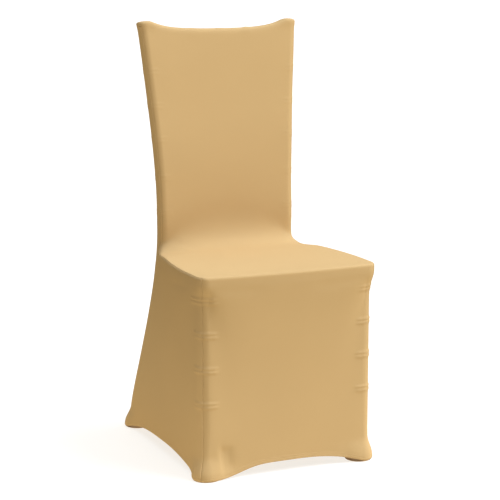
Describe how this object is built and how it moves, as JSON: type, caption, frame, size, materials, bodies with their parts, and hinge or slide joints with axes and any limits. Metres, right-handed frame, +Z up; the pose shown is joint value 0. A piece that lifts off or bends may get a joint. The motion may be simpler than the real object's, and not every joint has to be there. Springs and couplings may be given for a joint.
{
  "type": "chair cover",
  "caption": "Stretch cover fitted over a banquet chair: seat, back and skirt in one smooth skin, with a dipped crest, arched hems and a closed pocket for each leg. Hollow inside.",
  "frame": {"origin": "on the floor, under the middle of the cover's outline", "axes": "+Z up, the front of the seat faces -Y, and +X is the right side as seen from the front"},
  "size_m": [0.414, 0.4947, 0.9262],
  "materials": {
    "sand_stretch_cloth": "soft satin knit"
  },
  "bodies": {
    "root": {"front_panel": "sand_stretch_cloth", "back_panel": "sand_stretch_cloth", "side_panel_left": "sand_stretch_cloth", "side_panel_right": "sand_stretch_cloth", "foot_pocket_front_left": "sand_stretch_cloth", "foot_pocket_front_right": "sand_stretch_cloth", "foot_pocket_rear_left": "sand_stretch_cloth", "foot_pocket_rear_right": "sand_stretch_cloth"}
  },
  "joints": []
}
